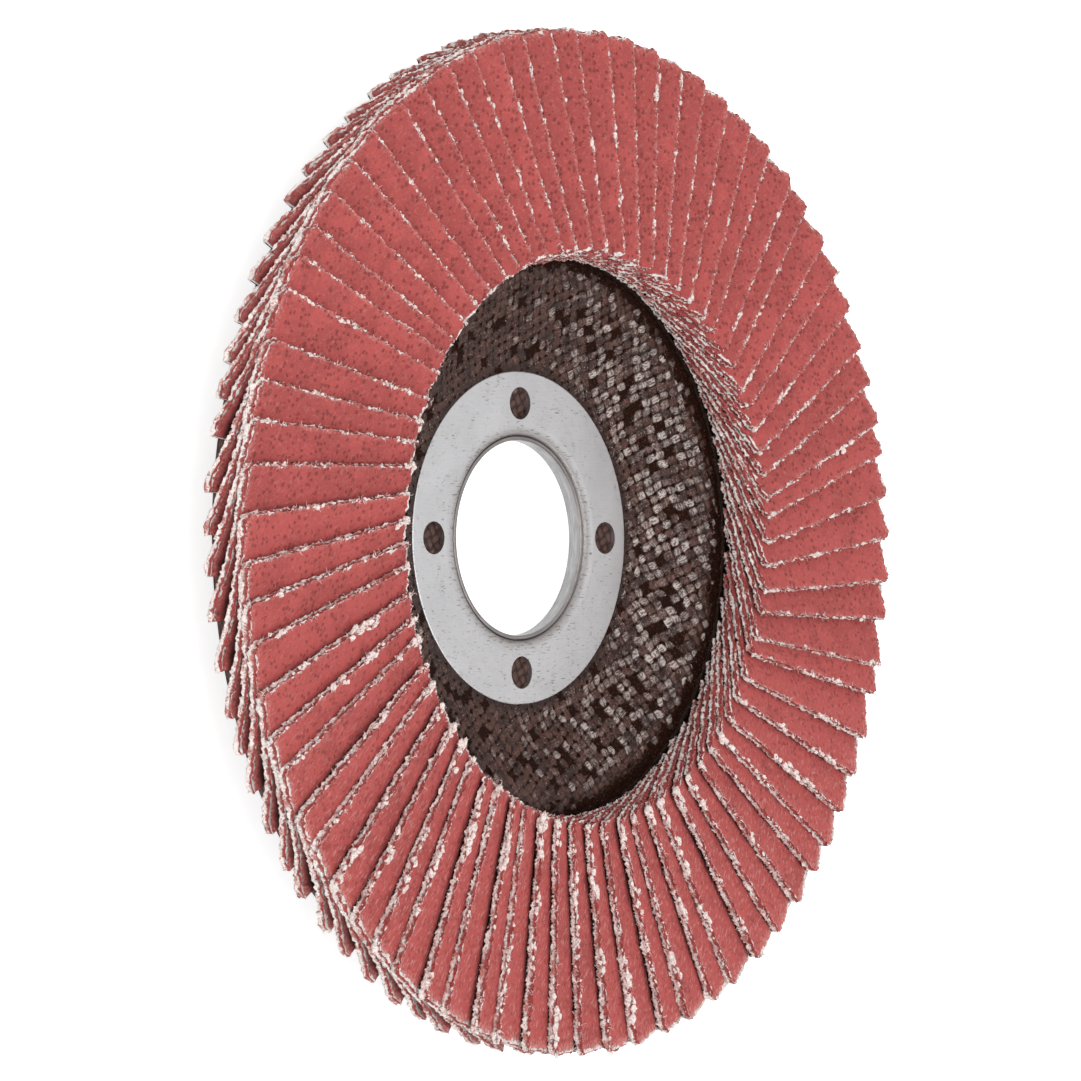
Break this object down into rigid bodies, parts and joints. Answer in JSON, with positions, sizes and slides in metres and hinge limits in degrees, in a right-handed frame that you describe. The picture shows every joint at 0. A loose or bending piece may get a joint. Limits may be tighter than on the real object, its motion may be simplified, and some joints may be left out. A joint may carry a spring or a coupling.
{
  "type": "flap disc",
  "caption": "Round abrasive disc: a closed ring of overlapping cloth flaps on a depressed-centre glass-cloth plate with a steel-lined bore.",
  "frame": {"origin": "on the bore axis at the back seat of the hub, which is the lowest face of the disc at rest", "axes": "+Z along the bore axis from the back seat towards the abrasive face; +X and +Y through the small holes of the centre ring"},
  "size_m": [0.115, 0.115, 0.013],
  "materials": {
    "resin_glass_cloth": "resin-coated plain weave",
    "steel": "satin, lightly scratched",
    "adhesive": "cured adhesive",
    "abrasive_cloth": "coated with red grain, pale cloth at the cut edges"
  },
  "bodies": {
    "root": {"backing_plate": "resin_glass_cloth", "centre_ring": "steel", "bore_sleeve": "steel", "adhesive_bed": "adhesive", "flaps_01": "abrasive_cloth", "flaps_02": "abrasive_cloth", "flaps_03": "abrasive_cloth", "flaps_04": "abrasive_cloth", "flaps_05": "abrasive_cloth", "flaps_06": "abrasive_cloth", "flaps_07": "abrasive_cloth", "flaps_08": "abrasive_cloth", "flaps_09": "abrasive_cloth", "flaps_10": "abrasive_cloth", "flaps_11": "abrasive_cloth", "flaps_12": "abrasive_cloth", "flaps_13": "abrasive_cloth", "flaps_14": "abrasive_cloth", "flaps_15": "abrasive_cloth", "flaps_16": "abrasive_cloth", "flaps_17": "abrasive_cloth", "flaps_18": "abrasive_cloth", "flaps_19": "abrasive_cloth", "flaps_20": "abrasive_cloth", "flaps_21": "abrasive_cloth", "flaps_22": "abrasive_cloth", "flaps_23": "abrasive_cloth", "flaps_24": "abrasive_cloth", "flaps_25": "abrasive_cloth"}
  },
  "joints": []
}
